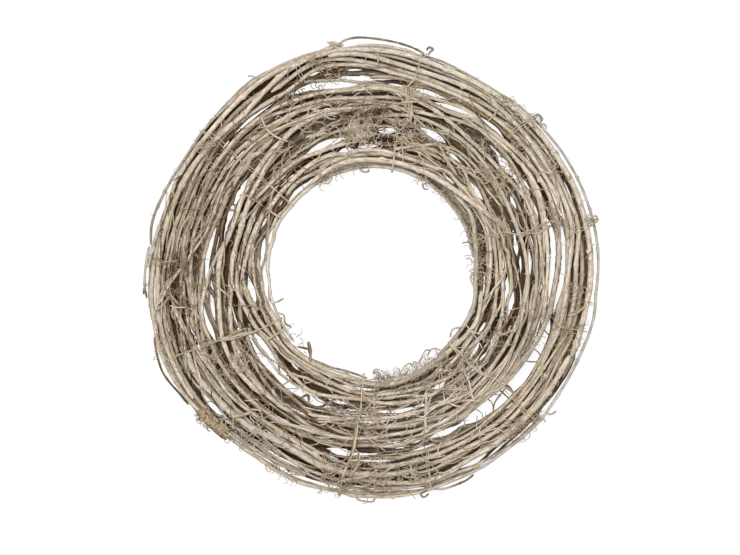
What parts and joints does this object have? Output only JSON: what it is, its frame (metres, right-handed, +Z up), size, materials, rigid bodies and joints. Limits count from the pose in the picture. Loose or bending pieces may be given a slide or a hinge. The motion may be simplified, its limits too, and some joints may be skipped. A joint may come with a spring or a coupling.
{
  "type": "willow wreath",
  "caption": "Round wreath of loosely wound dry willow canes, held by thin binding strands, with an open centre and small curly side shoots.",
  "frame": {"origin": "on the floor under the middle of the ring, the wreath lying on its back", "axes": "+Z up out of the wreath's front face, +Y towards its top as it would hang, +X to the viewer's right"},
  "size_m": [0.459, 0.4651, 0.0286],
  "materials": {
    "pale_bark": "dry weathered bark, matt",
    "warm_bark": "dry weathered bark, matt",
    "shaded_bark": "dry dark bark, matt",
    "strand": "split cane, matt"
  },
  "bodies": {
    "root": {"outer_rim_cane": "pale_bark", "outer_thick_cane": "warm_bark", "outer_butt_cane": "pale_bark", "outer_rising_cane": "warm_bark", "outer_winding_cane": "pale_bark", "outer_waving_cane": "warm_bark", "outer_lower_cane": "pale_bark", "outer_slim_cane": "warm_bark", "outer_inside_cane": "pale_bark", "outer_bowed_cane": "warm_bark", "outer_buried_cane": "pale_bark", "outer_left_cane": "warm_bark", "outer_edge_cane": "pale_bark", "outer_stub_cane": "warm_bark", "outer_heavy_cane": "pale_bark", "outer_short_cane": "warm_bark", "outer_tapered_cane": "pale_bark", "middle_long_cane": "warm_bark", "middle_round_cane": "pale_bark", "middle_lower_cane": "warm_bark", "middle_crossing_cane": "pale_bark", "middle_left_cane": "warm_bark", "middle_wavy_cane": "pale_bark", "middle_top_cane": "warm_bark", "middle_climbing_cane": "pale_bark", "middle_speckled_cane": "warm_bark", "middle_twin_cane": "pale_bark", "middle_steep_cane": "warm_bark", "middle_rim_cane": "pale_bark", "middle_inside_cane": "warm_bark", "inner_diagonal_cane": "pale_bark", "inner_right_cane": "warm_bark", "inner_slim_cane": "pale_bark", "inner_long_cane": "warm_bark", "inner_low_cane": "pale_bark", "inner_rim_cane": "warm_bark", "inner_left_cane": "pale_bark", "inner_lower_cane": "warm_bark", "inner_thick_cane": "pale_bark", "inner_fine_cane": "warm_bark", "inner_bridging_cane": "pale_bark", "inner_gap_cane": "warm_bark", "outer_back_1": "shaded_bark", "outer_back_2": "shaded_bark", "middle_back_1": "shaded_bark", "middle_back_2": "shaded_bark", "inner_back_1": "shaded_bark", "inner_back_2": "shaded_bark", "binding_right": "strand", "binding_top": "strand", "binding_upper_left": "strand", "binding_lower_left": "strand", "binding_bottom": "strand", "binding_lower_right": "strand", "outer_binding_1": "strand", "outer_binding_2": "strand", "outer_binding_3": "strand", "outer_binding_4": "strand", "outer_binding_5": "strand", "outer_binding_6": "strand"}
  },
  "joints": []
}
